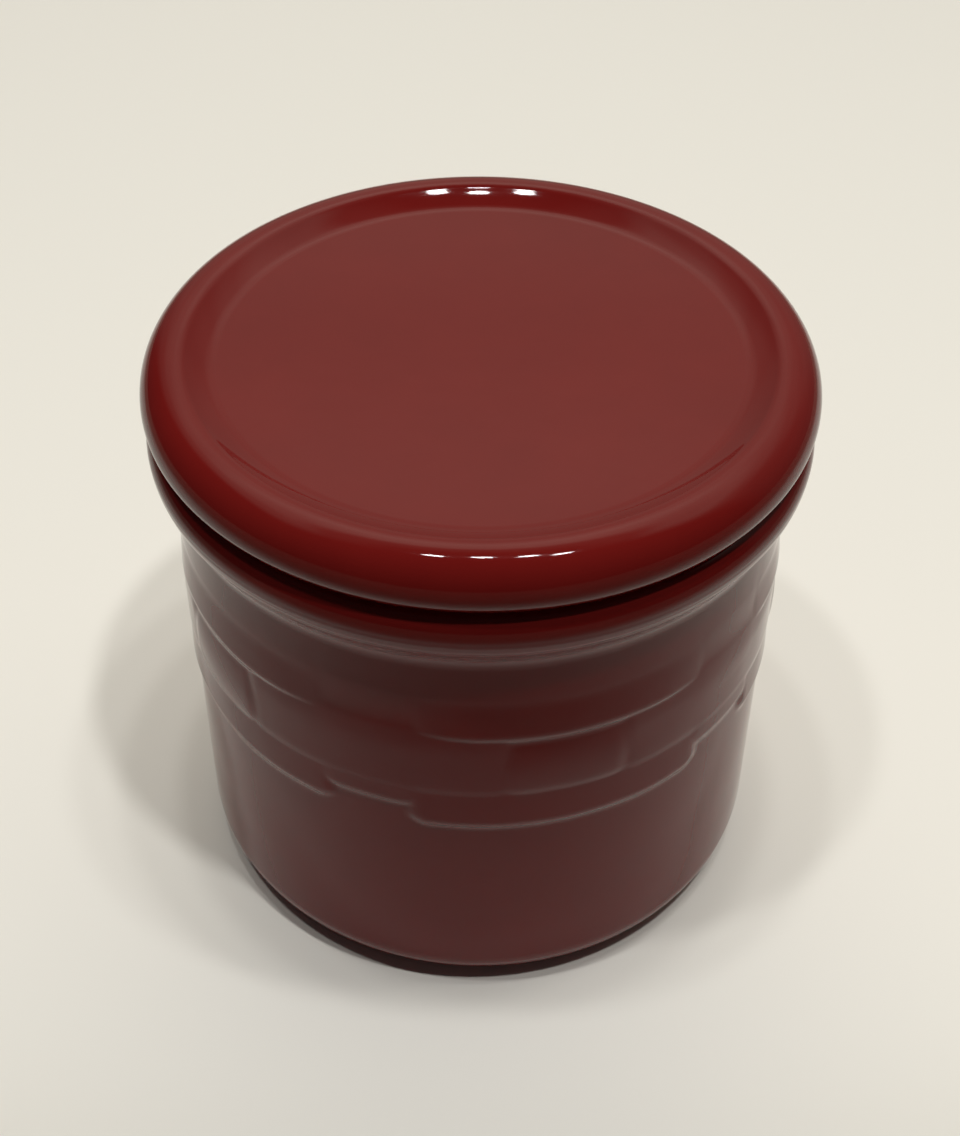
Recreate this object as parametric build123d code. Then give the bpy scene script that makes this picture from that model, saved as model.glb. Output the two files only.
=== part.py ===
from build123d import *
import math
import os

os.makedirs("parts", exist_ok=True)

# Covered crock: a slip-cast stoneware pot with a woven relief band, and a flat lid that doubles as a coaster.
# Millimetres, +Z up. The origin is the middle of the foot ring, on the table. The front of the pot faces -Y.

# Pot: outside
wall_radius = 50.4
foot_round = 8.0  # the wall rolls under with this radius, down to the foot ring
rim_overhang = 3.5  # how far the rim stands out from the wall
rim_widest_height = 88.6
rim_underside_radius = 8.0
rim_round = 4.0  # outer round of the rim, up to the flat land that carries the lid
rim_land = 1.6

# Pot: inside and underneath
wall_thickness = 5.5
base_thickness = 7.0
inner_corner_radius = 6.0
foot_ring_height = 0.4  # how far the dry ring stands down from the rolled corner
foot_ring_width = 4.5
foot_hollow = 1.4  # how far the middle of the underside stands up from the table

# Lid
lid_overhang = 0.1  # how far the lid's edge stands past the rim
lid_top_roll = 6.0  # the edge rolls over from the crest to its widest line with this radius
lid_bottom_roll = 3.6  # and on under to the seat with this one
coaster_lip_radius = 3.0  # rolls over from the crest towards the recess
coaster_slope = 33.0  # degrees down at the end of the lip
coaster_flank_radius = 20.0  # gently hollow side of the recess
coaster_flank_bend = 9.0
coaster_cove_radius = 5.0  # hollow curve that meets the flat floor of the recess
lid_underside_hollow = 1.0  # how far the middle of the underside stands up from the seat
locating_ring_drop = 3.5
locating_ring_width = 4.0
locating_ring_round = 1.2
locating_ring_clearance = 0.8  # between the ring and the mouth of the pot

# Woven band: three rows of splints that pass over and under a ring of uprights
weave_middle_height = 57.9
weave_to_flare = 0.4  # plain wall between the band and the start of the flare
middle_row_height = 13.2
edge_row_height = 6.9
upright_count = 10  # even, so that the rows alternate all the way round
upright_inset = 3.7  # an upright stops this far inside the band's outer edges
middle_row_upright_width = 18.9
edge_row_upright_width = 15.4
weave_turn = 16.0  # degrees that the front upright stands to the right of the front
splint_crown = 0.85  # height over the wall at the middle of a splint
splint_shoulder = 0.5  # height over the wall at its ends
splint_lean = 0.3  # an edge row's splint stands this much prouder along its lower edge than along its upper one
upright_crown = 0.75
upright_shoulder = 0.4
splint_corner = 1.6  # at the free corners, along the band's outer edges
glaze_softness = 0.45  # round along the outer edges of the relief
splint_lap = 0.15  # each raised face reaches this far past its row line or its neighbour

# Sizes that follow
flare_start = weave_middle_height + middle_row_height / 2 + edge_row_height + weave_to_flare
rim_radius = wall_radius + rim_overhang
rim_height = rim_widest_height + rim_round
mouth_radius = wall_radius - wall_thickness
flare_rise = rim_widest_height - flare_start
flare_angle = 2 * math.degrees(math.atan2(rim_overhang, flare_rise))
flare_radius = (flare_rise**2 + rim_overhang**2) / (2 * rim_overhang) - rim_underside_radius
rim_inner_round = rim_radius - rim_round - rim_land - mouth_radius
foot_ring_radius = wall_radius - foot_round
lid_radius = rim_radius + lid_overhang
upright_pitch = 360 / upright_count


def revolved(outline):
    # Turns an outline of (radius, height) round the Z axis.
    face = Plane.XZ * make_face(outline)
    return revolve(face, Axis.Z)


def pot_outside():
    wall_top = (wall_radius, flare_start)
    with BuildLine() as line:
        under = Polyline(
            (0, foot_hollow),
            (foot_ring_radius - foot_ring_width - foot_hollow, foot_hollow),
            (foot_ring_radius - foot_ring_width, 0),
            (foot_ring_radius, 0),
            (foot_ring_radius, foot_ring_height),
        )
        corner = JernArc(under @ 1, (1, 0), foot_round, 90)
        Line(corner @ 1, wall_top)
        flare = JernArc(wall_top, (0, 1), flare_radius, -flare_angle)
        swell = JernArc(flare @ 1, flare % 1, rim_underside_radius, flare_angle)
        shoulder = JernArc(swell @ 1, (0, 1), rim_round, 90)
        Line(shoulder @ 1, (0, rim_height))
        Line((0, rim_height), (0, foot_hollow))
    return revolved(line.edges())


def pot_inside():
    land_inner = (mouth_radius + rim_inner_round, rim_height)
    with BuildLine() as line:
        lip = JernArc(land_inner, (-1, 0), rim_inner_round, 90)
        wall_low = (mouth_radius, base_thickness + inner_corner_radius)
        Line(lip @ 1, wall_low)
        corner = JernArc(wall_low, (0, -1), inner_corner_radius, -90)
        Line(corner @ 1, (0, base_thickness))
        Line((0, base_thickness), (0, rim_height))
        Line((0, rim_height), land_inner)
    return revolved(line.edges())


def raised_face(width, height, crown, shoulder, lean=0.0, free_corner=0.0):
    # One face of the weave, towards +X, with its middle at z = 0. Its outer side is part of a cone that is tighter
    # than the wall, so it stands crown proud in the middle and shoulder proud at its ends, and it leans outwards
    # towards its lower edge.
    half_angle = math.asin(width / 2 / wall_radius)
    crown_radius = wall_radius + crown
    shoulder_radius = wall_radius + shoulder
    shift = (crown_radius**2 - shoulder_radius**2) / (2 * (crown_radius - shoulder_radius * math.cos(half_angle)))
    barrel_radius = crown_radius - shift
    barrel = Cylinder(barrel_radius, height)
    if lean:
        barrel = Cone(barrel_radius + lean / 2, barrel_radius - lean / 2, height)
    barrel = Pos(shift, 0, 0) * barrel
    slab = Pos(wall_radius, 0, 0) * Box(wall_radius, width, height)
    face = barrel & slab
    if free_corner > 0:
        upper_corners = face.edges().filter_by(Axis.X).sort_by(Axis.Z)[-2:]
        face = fillet(upper_corners, free_corner)
    outer = face.faces().sort_by(Axis.X)[-1]
    return fillet(outer.edges(), glaze_softness)


def round_the_pot(face, height, first):
    # Every second upright place, from the front one (first = 0) or from its neighbour (first = 1).
    ring = []
    for step in range(first, upright_count, 2):
        turn = weave_turn - 90 + step * upright_pitch
        ring.append(Rot(0, 0, turn) * Pos(0, 0, height) * face)
    return ring


def splint_width(upright_width):
    # A splint runs over one upright and ends at the edges of the next ones on both sides.
    half_upright = math.degrees(math.asin(upright_width / 2 / wall_radius))
    return 2 * wall_radius * math.sin(math.radians(upright_pitch - half_upright)) + 2 * splint_lap


def weave():
    lap = 2 * splint_lap
    middle_height = middle_row_height + lap
    splint_height = edge_row_height + lap
    upright_height = edge_row_height - upright_inset + lap
    middle_upright_width = middle_row_upright_width + lap
    edge_upright_width = edge_row_upright_width + lap
    middle_splint = raised_face(
        splint_width(middle_row_upright_width), middle_height, splint_crown, splint_shoulder
    )
    edge_width = splint_width(edge_row_upright_width)
    middle_upright = raised_face(middle_upright_width, middle_height, upright_crown, upright_shoulder)
    edge_upright = raised_face(edge_upright_width, upright_height, upright_crown, upright_shoulder)
    faces = round_the_pot(middle_splint, weave_middle_height, 1)
    faces += round_the_pot(middle_upright, weave_middle_height, 0)
    splint_offset = (middle_row_height + edge_row_height) / 2
    upright_offset = (middle_row_height + edge_row_height - upright_inset) / 2
    for side, flip in ((1, 0), (-1, 180)):
        free_side_out = Rot(flip, 0, 0)
        edge_splint = raised_face(
            edge_width, splint_height, splint_crown, splint_shoulder, side * splint_lean, splint_corner
        )
        faces += round_the_pot(free_side_out * edge_splint, weave_middle_height + side * splint_offset, 0)
        faces += round_the_pot(free_side_out * edge_upright, weave_middle_height + side * upright_offset, 1)
    return faces


def crock_body():
    return pot_outside() + weave() - pot_inside()


def lid():
    seat = rim_height
    ring_radius = mouth_radius - locating_ring_clearance
    ring_inner = ring_radius - locating_ring_width
    plate_bottom = seat + lid_underside_hollow
    ring_bottom = seat - locating_ring_drop
    with BuildLine() as line:
        under = FilletPolyline(
            (0, plate_bottom),
            (ring_inner - locating_ring_drop, plate_bottom),
            (ring_inner, ring_bottom),
            (ring_radius, ring_bottom),
            (ring_radius, seat),
            (lid_radius - lid_bottom_roll, seat),
            radius=(locating_ring_round, locating_ring_round, locating_ring_round, locating_ring_round / 2),
        )
        bottom = JernArc(under @ 1, (1, 0), lid_bottom_roll, 90)
        top = JernArc(bottom @ 1, (0, 1), lid_top_roll, 90)
        lip = JernArc(top @ 1, (-1, 0), coaster_lip_radius, coaster_slope)
        flank = JernArc(lip @ 1, lip % 1, coaster_flank_radius, -coaster_flank_bend)
        cove = JernArc(flank @ 1, flank % 1, coaster_cove_radius, coaster_flank_bend - coaster_slope)
        floor_height = (cove @ 1).Y
        Line(cove @ 1, (0, floor_height))
        Line((0, floor_height), (0, plate_bottom))
    return revolved(line.edges())


for name, piece in (("crock_body", crock_body()), ("lid", lid())):
    piece.label = name
    export_step(piece, f"parts/{name}.step")
    print(name, "solids", len(piece.solids()), "volume cm3", round(piece.volume / 1000, 1))
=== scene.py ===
import math

import bmesh
import bpy
from mathutils import Matrix, Vector, noise


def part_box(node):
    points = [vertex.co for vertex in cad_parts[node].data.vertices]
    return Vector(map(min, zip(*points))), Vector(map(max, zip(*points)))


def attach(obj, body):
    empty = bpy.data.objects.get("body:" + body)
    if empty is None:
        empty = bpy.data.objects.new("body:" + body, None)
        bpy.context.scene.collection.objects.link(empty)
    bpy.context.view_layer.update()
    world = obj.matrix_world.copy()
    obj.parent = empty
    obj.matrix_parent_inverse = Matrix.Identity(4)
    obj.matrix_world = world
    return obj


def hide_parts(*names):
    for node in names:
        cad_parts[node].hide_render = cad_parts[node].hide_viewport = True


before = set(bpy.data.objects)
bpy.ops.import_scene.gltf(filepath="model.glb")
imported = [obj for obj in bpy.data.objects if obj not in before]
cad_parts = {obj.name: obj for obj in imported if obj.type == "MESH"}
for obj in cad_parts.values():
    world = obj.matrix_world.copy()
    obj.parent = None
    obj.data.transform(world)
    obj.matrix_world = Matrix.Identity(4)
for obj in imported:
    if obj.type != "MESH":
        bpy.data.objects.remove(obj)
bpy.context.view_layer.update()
scene = bpy.context.scene
print("frame loaded:", ", ".join(sorted(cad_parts)))

# Everything is in metres. The pot's axis is Z, its foot stands on z = 0 and its front faces -Y.
camera = {
    "place": (0.0, -0.2327, 0.2682),
    "pitchDown": 42.73,  # degrees under the horizon
    "yaw": -0.02,
    "roll": 0.44,
    "lens": 38.03,
    "sensorHeight": 24.0,
}


def addCamera():
    data = bpy.data.cameras.new("photoCamera")
    data.sensor_fit = "VERTICAL"
    data.sensor_height = camera["sensorHeight"]
    data.lens = camera["lens"]
    data.clip_start = 0.01
    data.clip_end = 50
    cameraObject = bpy.data.objects.new("photoCamera", data)
    turn = Matrix.Rotation(math.radians(camera["yaw"]), 3, "Z")
    tilt = Matrix.Rotation(math.radians(90 - camera["pitchDown"]), 3, "X")
    roll = Matrix.Rotation(math.radians(camera["roll"]), 3, "Z")
    cameraObject.matrix_world = Matrix.Translation(camera["place"]) @ (turn @ tilt @ roll).to_4x4()
    scene.collection.objects.link(cameraObject)
    scene.camera = cameraObject


addCamera()
print("camera placed")


# An outline is drawn in the XZ plane like with a pen: x is the radius, z the height, and the heading is in
# degrees, 0 outwards and 90 up. It is then spun round the Z axis.
def startOutline(radius, height):
    mesh = bmesh.new()
    return {"mesh": mesh, "tip": mesh.verts.new((radius, 0, height)), "heading": 0.0}


def drawLine(pen, radius, height, steps=1):
    tip = pen["tip"]
    leg = Vector((radius, 0, height)) - tip.co
    pen["heading"] = math.degrees(math.atan2(leg.z, leg.x))
    for step in range(steps):
        tip = bmesh.ops.extrude_vert_indiv(pen["mesh"], verts=[tip])["verts"][0]
        bmesh.ops.translate(pen["mesh"], verts=[tip], vec=leg / steps)
    pen["tip"] = tip


def drawArc(pen, radius, turn, steps, heading=None):
    # A positive turn bends to the left of the heading.
    if heading is not None:
        pen["heading"] = heading
    angle = math.radians(pen["heading"])
    left = Vector((-math.sin(angle), 0, math.cos(angle)))
    centre = pen["tip"].co + left * math.copysign(radius, turn)
    spun = bmesh.ops.spin(
        pen["mesh"], geom=[pen["tip"]], cent=centre, axis=(0, -1, 0), angle=math.radians(turn), steps=steps
    )
    pen["tip"] = [item for item in spun["geom_last"] if isinstance(item, bmesh.types.BMVert)][0]
    pen["heading"] += turn


def drawCorners(pen, corners, end, steps):
    # Straight legs through corners of (radius, height, round), each corner an arc that meets both legs.
    points = [Vector((corner[0], corner[1])) for corner in corners] + [Vector(end)]
    for index, (radius, height, cornerRound) in enumerate(corners):
        here = points[index]
        start = Vector((pen["tip"].co.x, pen["tip"].co.z))
        into = (here - start).normalized()
        away = (points[index + 1] - here).normalized()
        turn = math.degrees(math.atan2(into.x * away.y - into.y * away.x, into.dot(away)))
        trim = cornerRound * math.tan(math.radians(abs(turn)) / 2)
        drawLine(pen, *(here - into * trim))
        drawArc(pen, cornerRound, turn, steps)
    drawLine(pen, *end)


def spinOutline(pen, columns, sectors=5):
    # One sector is spun and then copied round, which is much quicker than one full spin.
    mesh = pen["mesh"]
    sectorAngle = math.tau / sectors
    bmesh.ops.spin(
        mesh, geom=mesh.verts[:] + mesh.edges[:], cent=(0, 0, 0), axis=(0, 0, 1),
        angle=sectorAngle, steps=columns // sectors,
    )
    sector = mesh.verts[:] + mesh.edges[:] + mesh.faces[:]
    for copy in range(1, sectors):
        made = bmesh.ops.duplicate(mesh, geom=sector)["geom"]
        copied = [item for item in made if isinstance(item, bmesh.types.BMVert)]
        turn = Matrix.Rotation(copy * sectorAngle, 3, "Z")
        bmesh.ops.rotate(mesh, verts=copied, cent=(0, 0, 0), matrix=turn)
    bmesh.ops.remove_doubles(mesh, verts=mesh.verts[:], dist=1e-6)
    bmesh.ops.recalc_face_normals(mesh, faces=mesh.faces[:])
    return mesh


def finishPiece(mesh, name, body, node, material):
    data = bpy.data.meshes.new(name)
    mesh.to_mesh(data)
    mesh.free()
    data.polygons.foreach_set("use_smooth", [True] * len(data.polygons))
    data.materials.append(material)
    piece = bpy.data.objects.new(name, data)
    scene.collection.objects.link(piece)
    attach(piece, body)
    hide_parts(node)
    print(name, "has", len(data.polygons), "faces")


def addNode(tree, kind, **values):
    node = tree.nodes.new(kind)
    for key, value in values.items():
        if key in node.inputs:
            node.inputs[key].default_value = value
        else:
            setattr(node, key, value)
    return node


glaze = {
    "deepRed": (0.118, 0.0053, 0.0045, 1),
    "warmRed": (0.147, 0.0080, 0.0064, 1),
    "roughness": 0.035,
    "roughnessSpread": 0.03,
    "ior": 1.29,
    "mottleScale": 55,
    "orangePeelScale": 210,
    "orangePeelDepth": 0.000012,
    "clay": (0.42, 0.31, 0.21, 1),
    "clayShade": (0.33, 0.235, 0.155, 1),
    "clayRoughness": 0.85,
    "clayEdge": 0.00015,  # the glaze thins out over this height
}


def makeGlaze(name, dryBelow):
    # Red glaze with bare clay under the height dryBelow, where the piece stands in the kiln.
    # On a colour Mix node, inputs 6 and 7 are A and B, and output 2 is the result.
    material = bpy.data.materials.new(name)
    material.use_nodes = True
    tree = material.node_tree
    shader = tree.nodes["Principled BSDF"]
    shader.inputs["IOR"].default_value = glaze["ior"]
    place = addNode(tree, "ShaderNodeTexCoord")
    mottle = addNode(tree, "ShaderNodeTexNoise", Scale=glaze["mottleScale"], Detail=3.0, Roughness=0.55)
    tree.links.new(place.outputs["Object"], mottle.inputs["Vector"])
    tone = addNode(tree, "ShaderNodeMix", data_type="RGBA")
    tree.links.new(mottle.outputs["Fac"], tone.inputs["Factor"])
    tone.inputs[6].default_value = glaze["deepRed"]
    tone.inputs[7].default_value = glaze["warmRed"]
    gloss = addNode(tree, "ShaderNodeMapRange")
    gloss.inputs["To Min"].default_value = glaze["roughness"]
    gloss.inputs["To Max"].default_value = glaze["roughness"] + glaze["roughnessSpread"]
    tree.links.new(mottle.outputs["Fac"], gloss.inputs["Value"])
    peel = addNode(tree, "ShaderNodeTexNoise", Scale=glaze["orangePeelScale"], Detail=1.0)
    tree.links.new(place.outputs["Object"], peel.inputs["Vector"])
    bump = addNode(tree, "ShaderNodeBump", Distance=glaze["orangePeelDepth"])
    tree.links.new(peel.outputs["Fac"], bump.inputs["Height"])
    tree.links.new(bump.outputs["Normal"], shader.inputs["Normal"])
    split = addNode(tree, "ShaderNodeSeparateXYZ")
    tree.links.new(place.outputs["Object"], split.inputs["Vector"])
    dry = addNode(tree, "ShaderNodeMapRange")
    dry.inputs["From Min"].default_value = dryBelow + glaze["clayEdge"]
    dry.inputs["From Max"].default_value = dryBelow
    tree.links.new(split.outputs["Z"], dry.inputs["Value"])
    clay = addNode(tree, "ShaderNodeMix", data_type="RGBA")
    clay.inputs[6].default_value = glaze["clay"]
    clay.inputs[7].default_value = glaze["clayShade"]
    tree.links.new(peel.outputs["Fac"], clay.inputs["Factor"])
    skin = addNode(tree, "ShaderNodeMix", data_type="RGBA")
    tree.links.new(dry.outputs["Result"], skin.inputs["Factor"])
    tree.links.new(tone.outputs[2], skin.inputs[6])
    tree.links.new(clay.outputs[2], skin.inputs[7])
    tree.links.new(skin.outputs[2], shader.inputs["Base Color"])
    polish = addNode(tree, "ShaderNodeMix", data_type="FLOAT")
    tree.links.new(dry.outputs["Result"], polish.inputs["Factor"])
    tree.links.new(gloss.outputs["Result"], polish.inputs["A"])
    polish.inputs["B"].default_value = glaze["clayRoughness"]
    tree.links.new(polish.outputs["Result"], shader.inputs["Roughness"])
    return material


# Pot
pot = {
    "columns": 480,
    "wallRadius": 0.0504,
    "wallThickness": 0.0055,
    "footRound": 0.008,  # the wall rolls under with this radius
    "footRingHeight": 0.0004,
    "footRingWidth": 0.0045,
    "footHollow": 0.0014,
    "footRingRound": 0.0006,  # on its inner side
    "dryBelow": 0.0003,  # the foot ring is bare clay under this height
    "flareStart": 0.0790,
    "rimWidestHeight": 0.0886,
    "rimOverhang": 0.0035,
    "rimUndersideRadius": 0.008,
    "undersideRows": ((0.3, 4), (0.6, 26), (0.1, 2)),  # shares of that arc, each with its rows
    "rimRound": 0.004,
    "rimLand": 0.0016,
    "baseThickness": 0.007,
    "innerCornerRadius": 0.006,
    "turnedLines": (0.0853, 0.0866, 0.0878),  # heights of the fine lines under the rim
    "turnedLineDepth": 0.00002,
    "turnedLineWidth": 0.00025,
    "turnedLineFade": 0.01,  # what is left of a line's depth where it ends
}

# Woven band: three rows of splints over and under ten uprights. Each face stands over the wall by a height of
# its own, and the splints of the two outer rows lean out towards their lower edges.
weave = {
    "uprights": 10,
    "turn": 16.0,  # degrees from the front to the first upright on its right
    "middleHeight": 0.0584,
    "middleRow": 0.0132,
    "edgeRow": 0.0069,
    "uprightInset": 0.0037,
    "middleUprightWidth": 0.0189,
    "edgeUprightWidth": 0.0154,
    "upperSplint": 0.00070,  # at its lower edge, its upper edge lies flush with the wall
    "upperEnds": 0.35,  # how much of that is left at its two ends
    "lowerSplint": (0.00062, 0.00036),  # at its lower and at its upper edge
    "middleSplint": (0.00050, 0.00054),
    "middleUpright": 0.00076,  # bulges like a barrel, up to this
    "barrelMiddle": -0.0024,  # where it bulges most, over the middle row's centre line
    "barrelReach": 0.0082,  # from there to where it would sink into the wall
    "upright": 0.00046,
    # The middle splints and the upper uprights sink into the wall between these heights over the centre line.
    "lean": (0.0024, 0.0116),
    "lap": 0.002,  # how far the faces run on under their neighbours
    "corner": 0.002,
    "edgeSoftness": 0.0008,
    "middleSoftness": 0.0018,  # the middle row's edges are more worn down than the others
    "edgeSlope": 0.36,  # rise over run of the steps beyond their soft edges
    "blend": 0.00016,
    "margin": 0.002,  # of wall under the band that a soft edge may run out on
    "wobble": 0.00022,  # of the lines, as if drawn by hand
    "wobbleScale": 90,
    "wobbleSeed": 5,
    "unevenness": 0.00003,  # of the raised faces
    "unevennessScale": 180,
    "rowsStart": 0.003,  # this far under the band
    "fineReach": 0.0013,  # rows lie close together this far above and below each line
    "fineStep": 0.0002,
    "coarseStep": 0.0006,
}


def bandLines():
    # Heights of the lines where the relief steps, from the band's lower edge up
    middle = weave["middleHeight"]
    rowLine = weave["middleRow"] / 2
    bandEdge = rowLine + weave["edgeRow"]
    uprightEnd = bandEdge - weave["uprightInset"]
    return [middle + offset for offset in (-bandEdge, -uprightEnd, -rowLine, rowLine)]


def drawBandRows(pen):
    # Rows lie close together at the lines and further apart between them.
    radius = pot["wallRadius"]
    reach = weave["fineReach"]
    for line in bandLines():
        gap = line - reach - pen["tip"].co.z
        if gap > 0:
            drawLine(pen, radius, line - reach, math.ceil(gap / weave["coarseStep"]))
        drawLine(pen, radius, line + reach, math.ceil((line + reach - pen["tip"].co.z) / weave["fineStep"]))
    top = weave["middleHeight"] + weave["middleRow"] / 2 + weave["edgeRow"] + weave["lap"]
    drawLine(pen, radius, top, math.ceil((top - pen["tip"].co.z) / weave["coarseStep"]))


def insideRoundedBox(across, up, halfWidth, low, high, corner):
    # Distance inside a box with round corners, negative outside it
    overX = abs(across) - halfWidth + corner
    overY = abs(up - (low + high) / 2) - (high - low) / 2 + corner
    outside = math.hypot(max(overX, 0), max(overY, 0))
    return corner - outside - min(max(overX, overY), 0)


def share(value, start, end):
    # How far a value has come from start to end, 0 to 1
    return min(max((value - start) / (end - start), 0), 1)


def mix(start, end, amount):
    return start + (end - start) * amount


def edgeFall(inside, soft):
    # A face's edge bends over softly and then falls at a steady slope.
    slope = weave["edgeSlope"]
    if inside > soft:
        return 0
    if inside < -soft:
        return -inside * slope
    return slope * (soft - inside) ** 2 / (4 * soft)


def blendUp(first, second):
    # The higher of the two, with a small fillet where they meet
    overlap = max(weave["blend"] - abs(first - second), 0)
    return max(first, second) + overlap**2 / (4 * weave["blend"])


def reliefHeight(angle, height):
    # The weave repeats every second upright and is the same on both sides of a splint's middle, so an angle
    # is first folded to between an edge splint's middle and the middle of the next upright.
    radius = pot["wallRadius"]
    pitch = math.tau / weave["uprights"]
    up = height - weave["middleHeight"]
    rowLine = weave["middleRow"] / 2
    bandEdge = rowLine + weave["edgeRow"]
    uprightEnd = bandEdge - weave["uprightInset"]
    turned = angle - math.radians(weave["turn"])
    fold = abs((turned + pitch) % (2 * pitch) - pitch)
    acrossSplint = fold * radius
    acrossUpright = (pitch - fold) * radius
    edgeUpright = weave["edgeUprightWidth"] / 2
    middleUpright = weave["middleUprightWidth"] / 2
    edgeSplint = pitch * radius - edgeUpright
    middleSplint = pitch * radius - middleUpright
    corner = weave["corner"]
    lap = weave["lap"]
    upperRow = share(up, rowLine, bandEdge)
    lowerRow = share(up, -bandEdge, -rowLine)
    middleRow = share(up, -rowLine, rowLine)
    barrel = 1 - ((up - weave["barrelMiddle"]) / weave["barrelReach"]) ** 2
    lean = share(up, *weave["lean"])
    stand = 1 - lean * lean * (3 - 2 * lean)  # eased at both ends
    soft = weave["edgeSoftness"]
    worn = weave["middleSoftness"]
    towardsEnd = share(acrossSplint, edgeSplint / 2, edgeSplint)
    upperLevel = weave["upperSplint"] * mix(1, weave["upperEnds"], towardsEnd**2)
    faces = (
        (mix(upperLevel, 0, upperRow), soft,
         insideRoundedBox(acrossSplint, up, edgeSplint, rowLine, bandEdge + lap, corner)),
        (mix(*weave["lowerSplint"], lowerRow), soft,
         insideRoundedBox(acrossSplint, up, edgeSplint, -bandEdge, lap - rowLine, corner)),
        (mix(*weave["middleSplint"], middleRow) * stand, worn,
         insideRoundedBox(acrossUpright, up, middleSplint, -rowLine, rowLine + lap, corner)),
        (weave["middleUpright"] * barrel, worn,
         insideRoundedBox(acrossSplint, up, middleUpright, -rowLine, rowLine + lap, corner)),
        (weave["upright"], soft,
         insideRoundedBox(acrossUpright, up, edgeUpright, -uprightEnd, lap - rowLine, corner)),
        (weave["upright"] * stand, soft,
         insideRoundedBox(acrossUpright, up, edgeUpright, 0, bandEdge + lap, corner)),
    )
    relief = 0
    for level, softness, inside in faces:
        relief = blendUp(relief, level - edgeFall(inside, softness))
    return relief


def raiseWeave(mesh):
    noise.seed_set(weave["wobbleSeed"])  # without it the wobble is new in every run
    low = bandLines()[0] - weave["margin"]
    midWall = pot["wallRadius"] - pot["wallThickness"] / 2
    for vert in mesh.verts:
        reach = math.hypot(vert.co.x, vert.co.y)
        if low < vert.co.z < pot["flareStart"] and reach > midWall:
            angle = math.atan2(vert.co.x, -vert.co.y)
            wobble = noise.noise_vector(vert.co * weave["wobbleScale"]) * weave["wobble"]
            uneven = noise.noise(vert.co * weave["unevennessScale"]) * weave["unevenness"]
            relief = reliefHeight(angle + wobble.x / reach, vert.co.z + wobble.z)
            grow = 1 + (relief + uneven * min(relief / weave["upright"], 1)) / reach
            vert.co.x *= grow
            vert.co.y *= grow


def cutTurnedLines(mesh):
    # Fine rings turned into the outer skin
    wall = pot["wallRadius"]
    width = pot["turnedLineWidth"]
    for vert in mesh.verts:
        reach = math.hypot(vert.co.x, vert.co.y)
        depth = sum(math.exp(-(((vert.co.z - line) / width) ** 2)) for line in pot["turnedLines"])
        if reach > wall and depth > pot["turnedLineFade"]:
            shrink = 1 - depth * pot["turnedLineDepth"] / reach
            vert.co.x *= shrink
            vert.co.y *= shrink


def buildPot():
    wall = pot["wallRadius"]
    foot = wall - pot["footRound"]
    ringInner = foot - pot["footRingWidth"]
    hollow = pot["footHollow"]
    ringHeight = pot["footRingHeight"]
    edge = ringHeight / 2
    pen = startOutline(0, hollow)
    soft = pot["footRingRound"]
    drawCorners(pen, [(ringInner - hollow, hollow, soft), (ringInner, 0, soft)], (foot - edge, 0), steps=4)
    drawArc(pen, edge, 90, steps=3, heading=0)
    drawLine(pen, foot, ringHeight)
    drawArc(pen, pot["footRound"], 90, steps=12, heading=0)
    drawLine(pen, wall, bandLines()[0] - weave["rowsStart"], steps=4)
    drawBandRows(pen)
    drawLine(pen, wall, pot["flareStart"])
    rise = pot["rimWidestHeight"] - pot["flareStart"]
    overhang = pot["rimOverhang"]
    flareTurn = 2 * math.degrees(math.atan2(overhang, rise))
    flareRadius = (rise**2 + overhang**2) / (2 * overhang) - pot["rimUndersideRadius"]
    drawArc(pen, flareRadius, -flareTurn, steps=12, heading=90)
    for part, rows in pot["undersideRows"]:
        drawArc(pen, pot["rimUndersideRadius"], flareTurn * part, rows)
    drawArc(pen, pot["rimRound"], 90, steps=12, heading=90)
    mouth = wall - pot["wallThickness"]
    rimHeight = pot["rimWidestHeight"] + pot["rimRound"]
    innerRound = wall + overhang - pot["rimRound"] - pot["rimLand"] - mouth
    drawLine(pen, mouth + innerRound, rimHeight)
    drawArc(pen, innerRound, 90, steps=8)
    drawLine(pen, mouth, pot["baseThickness"] + pot["innerCornerRadius"], steps=2)
    drawArc(pen, pot["innerCornerRadius"], -90, steps=7)
    drawLine(pen, 0, pot["baseThickness"], steps=2)
    mesh = spinOutline(pen, pot["columns"])
    raiseWeave(mesh)
    cutTurnedLines(mesh)
    return mesh


finishPiece(buildPot(), "glazed_crock", "crock", "crock_body", makeGlaze("potGlaze", pot["dryBelow"]))


# Lid
lidShape = {
    "columns": 360,
    "seatHeight": 0.0926,
    "edgeRadius": min(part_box("lid")[1][:2]),  # at its widest
    "bottomRoll": 0.0036,
    "topRoll": 0.006,
    "lipRadius": 0.003,
    "slope": 33.0,  # degrees down at the end of the lip
    "flankRadius": 0.020,
    "flankBend": 9.0,
    "coveRadius": 0.005,
    "undersideHollow": 0.001,
    "ringRadius": 0.0441,
    "ringWidth": 0.004,
    "ringDrop": 0.0035,
    "ringRound": 0.0012,
    "dryBelow": 0.0896,  # the ring is bare clay under this height
}


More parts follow.
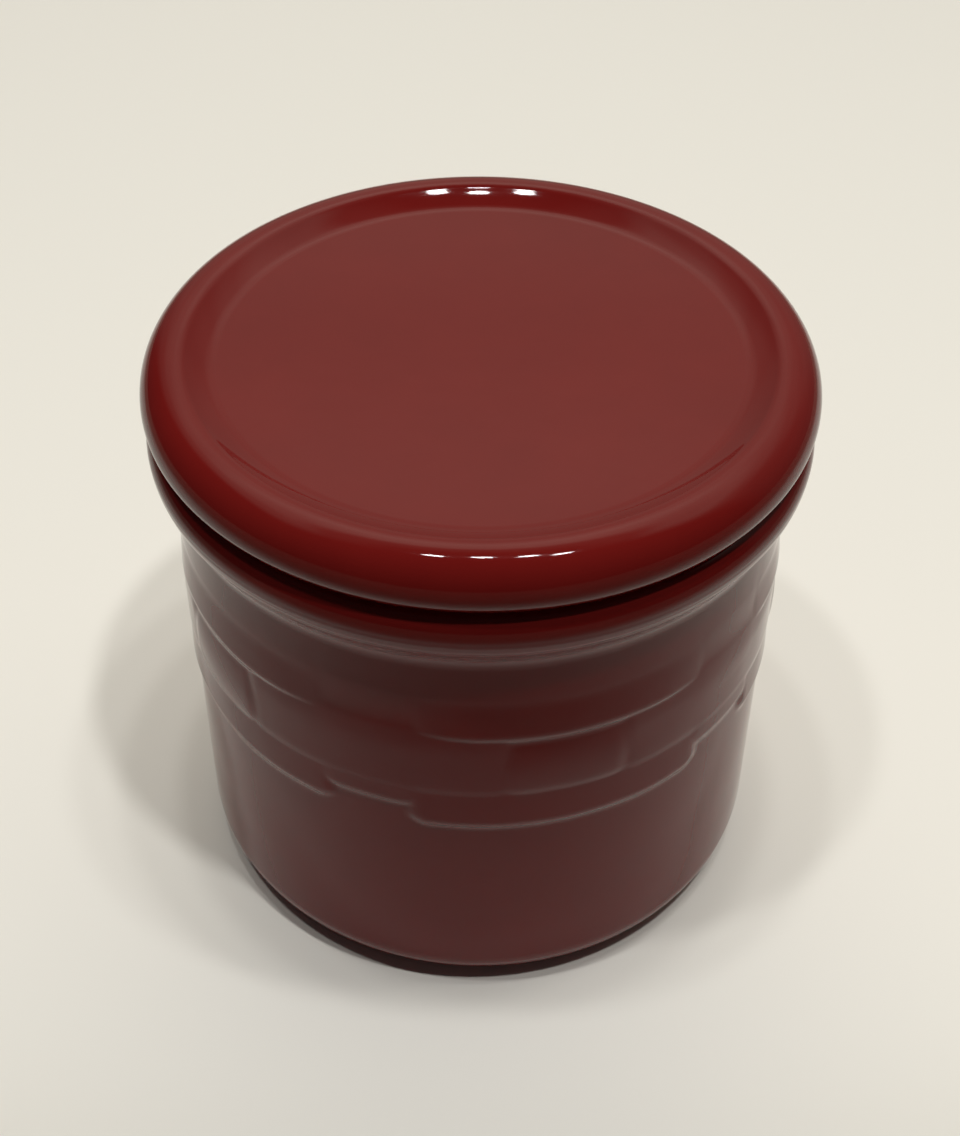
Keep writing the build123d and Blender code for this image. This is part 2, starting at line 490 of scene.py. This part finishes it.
def buildLid():
    seat = lidShape["seatHeight"]
    ringOuter = lidShape["ringRadius"]
    ringInner = ringOuter - lidShape["ringWidth"]
    ringBottom = seat - lidShape["ringDrop"]
    plateBottom = seat + lidShape["undersideHollow"]
    soft = lidShape["ringRound"]
    pen = startOutline(0, plateBottom)
    corners = [
        (ringInner - lidShape["ringDrop"], plateBottom, soft),
        (ringInner, ringBottom, soft),
        (ringOuter, ringBottom, soft),
        (ringOuter, seat, soft / 2),
    ]
    drawCorners(pen, corners, (lidShape["edgeRadius"] - lidShape["bottomRoll"], seat), steps=6)
    drawArc(pen, lidShape["bottomRoll"], 90, steps=16, heading=0)
    drawArc(pen, lidShape["topRoll"], 90, steps=24)
    drawArc(pen, lidShape["lipRadius"], lidShape["slope"], steps=12)
    drawArc(pen, lidShape["flankRadius"], -lidShape["flankBend"], steps=8)
    drawArc(pen, lidShape["coveRadius"], lidShape["flankBend"] - lidShape["slope"], steps=10)
    drawLine(pen, 0, pen["tip"].co.z, steps=8)
    return spinOutline(pen, lidShape["columns"])


finishPiece(buildLid(), "glazed_lid", "lid", "lid", makeGlaze("lidGlaze", lidShape["dryBelow"]))


# Floor, world and lamps
floorLook = {"size": 2.4, "colour": (0.80, 0.78, 0.715, 1), "roughness": 0.6}
studio = {
    # Light behind the pot, by degrees over the horizon
    "behind": (
        (-10, 0.16), (2, 0.35), (22, 0.58), (34, 0.84), (42, 1.34), (50, 2.1), (60, 1.87), (68, 0.49),
        (78, 0.12),
    ),
    # How much of it is left to the left and right, by the sideways part of the direction
    "sides": (
        (-0.64, 0.0), (-0.5, 0.4), (-0.36, 0.72), (-0.2, 0.9), (-0.1, 1.0), (0.1, 1.0), (0.2, 0.9),
        (0.36, 0.7), (0.56, 0.6), (0.8, 0.3),
    ),
    "fadeIn": (-0.1, 0.15),  # it starts and is whole at these backward parts of the direction
    "tint": (1.0, 0.93, 0.80),
    "dim": (0.035, 0.035, 0.036),
    # Each lamp hangs lampHeight over lampBase, and this far to the right and back, as shares of that height.
    "bulbs": ((-0.121, -0.021), (0.008, -0.008), (0.131, -0.024), (0.236, -0.066)),
    "lampHeight": 1.5,
    "lampBase": (0.0, 0.0, 0.1),
    "bulbRadius": 0.044,
    "bulbRadiance": 118.0,
    # The key lamps light the pot and cast its shadows, but don't show in the glaze. The last value of
    # each is its share of keyPower.
    "keys": ((0.225, -0.285, 1.0), (-0.24, -0.18, 0.5)),
    "keyPower": 29.2,
    "keyRadius": 0.045,
    "aim": (0.0, 0.207, 0.0),
    "cone": 24.6,  # degrees
    "coneBlend": 0.32,
}


def addFloor():
    mesh = bmesh.new()
    bmesh.ops.create_grid(mesh, x_segments=1, y_segments=1, size=floorLook["size"] / 2)
    data = bpy.data.meshes.new("paleFloor")
    mesh.to_mesh(data)
    mesh.free()
    floor = bpy.data.objects.new("paleFloor", data)
    scene.collection.objects.link(floor)
    material = bpy.data.materials.new("paleFloor")
    material.use_nodes = True
    shader = material.node_tree.nodes["Principled BSDF"]
    shader.inputs["Base Color"].default_value = floorLook["colour"]
    shader.inputs["Roughness"].default_value = floorLook["roughness"]
    data.materials.append(material)


def addRamp(tree, source, stops):
    # A curve through stops of (value, level)
    low = stops[0][0]
    high = stops[-1][0]
    scaled = addNode(tree, "ShaderNodeMapRange")
    scaled.inputs["From Min"].default_value = low
    scaled.inputs["From Max"].default_value = high
    tree.links.new(source, scaled.inputs["Value"])
    ramp = addNode(tree, "ShaderNodeValToRGB")
    ramp.color_ramp.interpolation = "EASE"
    while len(ramp.color_ramp.elements) < len(stops):
        ramp.color_ramp.elements.new(0.5)
    for element, (value, level) in zip(ramp.color_ramp.elements, stops):
        element.position = (value - low) / (high - low)
        element.color = (level, level, level, 1)
    tree.links.new(scaled.outputs["Result"], ramp.inputs["Fac"])
    return ramp


def addWorld():
    world = bpy.data.worlds.new("studio")
    scene.world = world
    world.use_nodes = True
    tree = world.node_tree
    background = tree.nodes["Background"]
    place = addNode(tree, "ShaderNodeTexCoord")
    split = addNode(tree, "ShaderNodeSeparateXYZ")
    tree.links.new(place.outputs["Generated"], split.inputs["Vector"])
    # What stands behind the pot is a curve of brightness over height, fading out to both sides.
    height = addNode(tree, "ShaderNodeMath", operation="ARCSINE")
    tree.links.new(split.outputs["Z"], height.inputs[0])
    degrees = addNode(tree, "ShaderNodeMath", operation="DEGREES")
    tree.links.new(height.outputs[0], degrees.inputs[0])
    ramp = addRamp(tree, degrees.outputs[0], studio["behind"])
    sides = addRamp(tree, split.outputs["X"], studio["sides"])
    front = addNode(tree, "ShaderNodeMapRange", interpolation_type="SMOOTHSTEP")
    front.inputs["From Min"].default_value = studio["fadeIn"][0]
    front.inputs["From Max"].default_value = studio["fadeIn"][1]
    tree.links.new(split.outputs["Y"], front.inputs["Value"])
    presence = addNode(tree, "ShaderNodeMath", operation="MULTIPLY")
    tree.links.new(sides.outputs["Color"], presence.inputs[0])
    tree.links.new(front.outputs["Result"], presence.inputs[1])
    level = addNode(tree, "ShaderNodeVectorMath", operation="SCALE")
    level.inputs[0].default_value = studio["tint"]
    tree.links.new(ramp.outputs["Color"], level.inputs["Scale"])
    colour = addNode(tree, "ShaderNodeMix", data_type="RGBA")
    colour.inputs[6].default_value = (*studio["dim"], 1)
    tree.links.new(level.outputs[0], colour.inputs[7])
    tree.links.new(presence.outputs[0], colour.inputs["Factor"])
    tree.links.new(colour.outputs[2], background.inputs["Color"])


def addLamp(name, offset, radius, power, inGlaze):
    lamp = bpy.data.lights.new(name, "SPOT")
    lamp.shadow_soft_size = radius
    lamp.spot_size = math.radians(studio["cone"])
    lamp.spot_blend = studio["coneBlend"]
    lamp.energy = power
    lampObject = bpy.data.objects.new(name, lamp)
    place = Vector((*offset, 1)) * studio["lampHeight"] + Vector(studio["lampBase"])
    away = place - Vector(studio["aim"])
    lampObject.matrix_world = Matrix.Translation(place) @ away.to_track_quat("Z", "Y").to_matrix().to_4x4()
    lampObject.visible_camera = False
    lampObject.visible_glossy = inGlaze
    scene.collection.objects.link(lampObject)


def addLamps():
    radius = studio["bulbRadius"]
    power = studio["bulbRadiance"] * 4 * math.pi**2 * radius**2  # a round bulb's radiance over its whole face
    for index, offset in enumerate(studio["bulbs"]):
        addLamp(f"bulb{index + 1}", offset, radius, power, True)
    for index, (side, back, level) in enumerate(studio["keys"]):
        addLamp(f"key{index + 1}", (side, back), studio["keyRadius"], studio["keyPower"] * level, False)


addFloor()
addWorld()
addLamps()
scene.view_settings.view_transform = "Standard"
print("floor, world and lamps placed")
